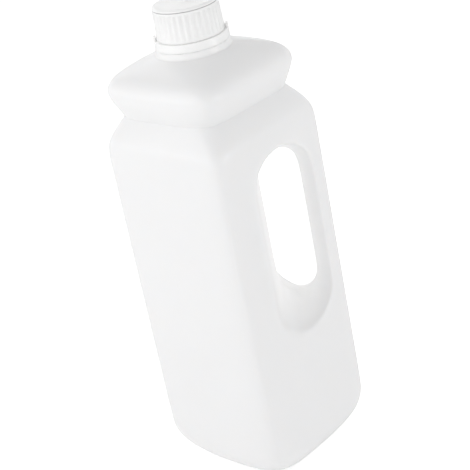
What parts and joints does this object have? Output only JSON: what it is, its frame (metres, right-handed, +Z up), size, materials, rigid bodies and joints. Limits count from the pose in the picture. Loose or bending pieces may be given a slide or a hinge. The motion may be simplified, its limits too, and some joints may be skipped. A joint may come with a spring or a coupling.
{
  "type": "plastic syrup container",
  "caption": "Opaque blow-moulded plastic jug with square body, waist groove, hand grip moulded into a corner, ribbed screw cap and tamper band.",
  "frame": {"origin": "centre of the base, on the surface that the jug stands on", "axes": "+Z up along the jug's axis, +X towards the grip corner, Y along the finger hole; the mould halves meet in the XZ plane"},
  "size_m": [0.1276, 0.1276, 0.3018],
  "materials": {
    "jug_plastic": "white blow-moulded polyethylene with a soft satin sheen",
    "cap_plastic": "white injection-moulded closure plastic, slightly glossier than the jug"
  },
  "bodies": {
    "root": {"bottle": "jug_plastic", "cap": "cap_plastic", "tamper_band": "cap_plastic"}
  },
  "joints": []
}
